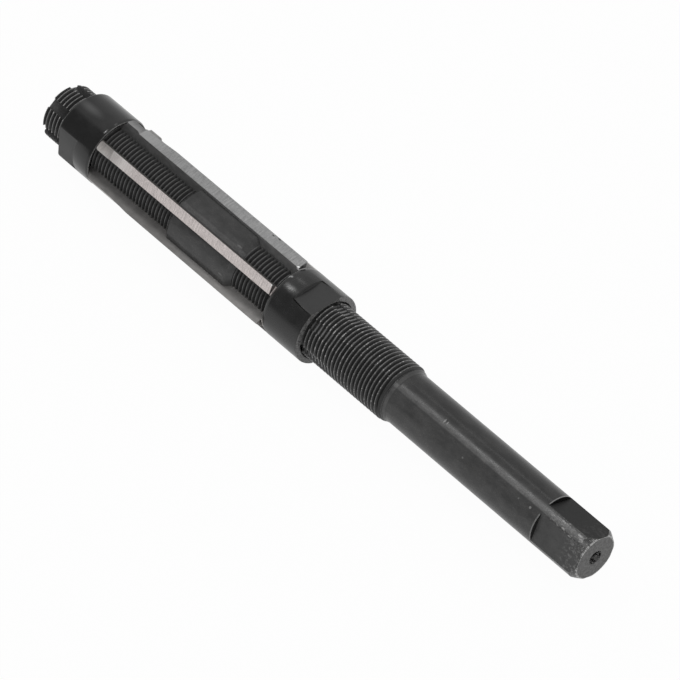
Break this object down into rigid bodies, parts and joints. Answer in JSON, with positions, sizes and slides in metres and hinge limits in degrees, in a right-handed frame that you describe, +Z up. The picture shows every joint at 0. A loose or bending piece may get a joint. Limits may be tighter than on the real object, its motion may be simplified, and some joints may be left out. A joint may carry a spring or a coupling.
{
  "type": "adjustable hand reamer",
  "caption": "Adjustable hand reamer: straight blades in tapered slots, clamped between two screwed nuts on a threaded body with a plain shank and a square drive end.",
  "frame": {"origin": "under the middle of the tool's length, on the surface it lies on, which touches the two lowest cutting edges", "axes": "X runs along the tool, +X at the square drive end and -X at the threaded tip; +Z is up as it lies at rest"},
  "size_m": [0.24, 0.028, 0.0246],
  "materials": {
    "blackened_body": "satin black oxide",
    "blackened_nut": "satin black oxide, lighter on the milled flats",
    "ground_blade": "cross-ground bright steel, with dark side faces"
  },
  "bodies": {
    "reamer_body": {"reamer_body": "blackened_body"},
    "front_nut": {"front_nut": "blackened_nut"},
    "rear_nut": {"rear_nut": "blackened_nut"},
    "blade_1": {"blade_1": "ground_blade"},
    "blade_2": {"blade_2": "ground_blade"},
    "blade_3": {"blade_3": "ground_blade"},
    "blade_4": {"blade_4": "ground_blade"},
    "blade_5": {"blade_5": "ground_blade"},
    "blade_6": {"blade_6": "ground_blade"}
  },
  "joints": [
    {"name": "front_nut_slide", "type": "slide", "parent": "reamer_body", "child": "front_nut", "axis": [1, 0, 0], "range_m": [-0.0094, 0.0164]},
    {"name": "rear_nut_slide", "type": "slide", "parent": "reamer_body", "child": "rear_nut", "axis": [1, 0, 0], "range_m": [-0.0105, 0.0182]},
    {"name": "blade_1_slide", "type": "slide", "parent": "reamer_body", "child": "blade_1", "axis": [0.999, -0.026, 0.035], "range_m": [-0.0101, 0.0175]},
    {"name": "blade_2_slide", "type": "slide", "parent": "reamer_body", "child": "blade_2", "axis": [0.999, 0.0173, 0.04], "range_m": [-0.0101, 0.0175]},
    {"name": "blade_3_slide", "type": "slide", "parent": "reamer_body", "child": "blade_3", "axis": [0.999, 0.0433, 0.005], "range_m": [-0.0101, 0.0175]},
    {"name": "blade_4_slide", "type": "slide", "parent": "reamer_body", "child": "blade_4", "axis": [0.999, 0.026, -0.035], "range_m": [-0.0101, 0.0175]},
    {"name": "blade_5_slide", "type": "slide", "parent": "reamer_body", "child": "blade_5", "axis": [0.999, -0.0173, -0.04], "range_m": [-0.0101, 0.0175]},
    {"name": "blade_6_slide", "type": "slide", "parent": "reamer_body", "child": "blade_6", "axis": [0.999, -0.0433, -0.005], "range_m": [-0.0101, 0.0175]}
  ],
  "couplings": [
    {"joint": "rear_nut_slide", "follows": "front_nut_slide", "ratio": 1.0913},
    {"joint": "blade_1_slide", "follows": "front_nut_slide", "ratio": 1.0467},
    {"joint": "blade_2_slide", "follows": "front_nut_slide", "ratio": 1.0467},
    {"joint": "blade_3_slide", "follows": "front_nut_slide", "ratio": 1.0467},
    {"joint": "blade_4_slide", "follows": "front_nut_slide", "ratio": 1.0467},
    {"joint": "blade_5_slide", "follows": "front_nut_slide", "ratio": 1.0467},
    {"joint": "blade_6_slide", "follows": "front_nut_slide", "ratio": 1.0467}
  ]
}
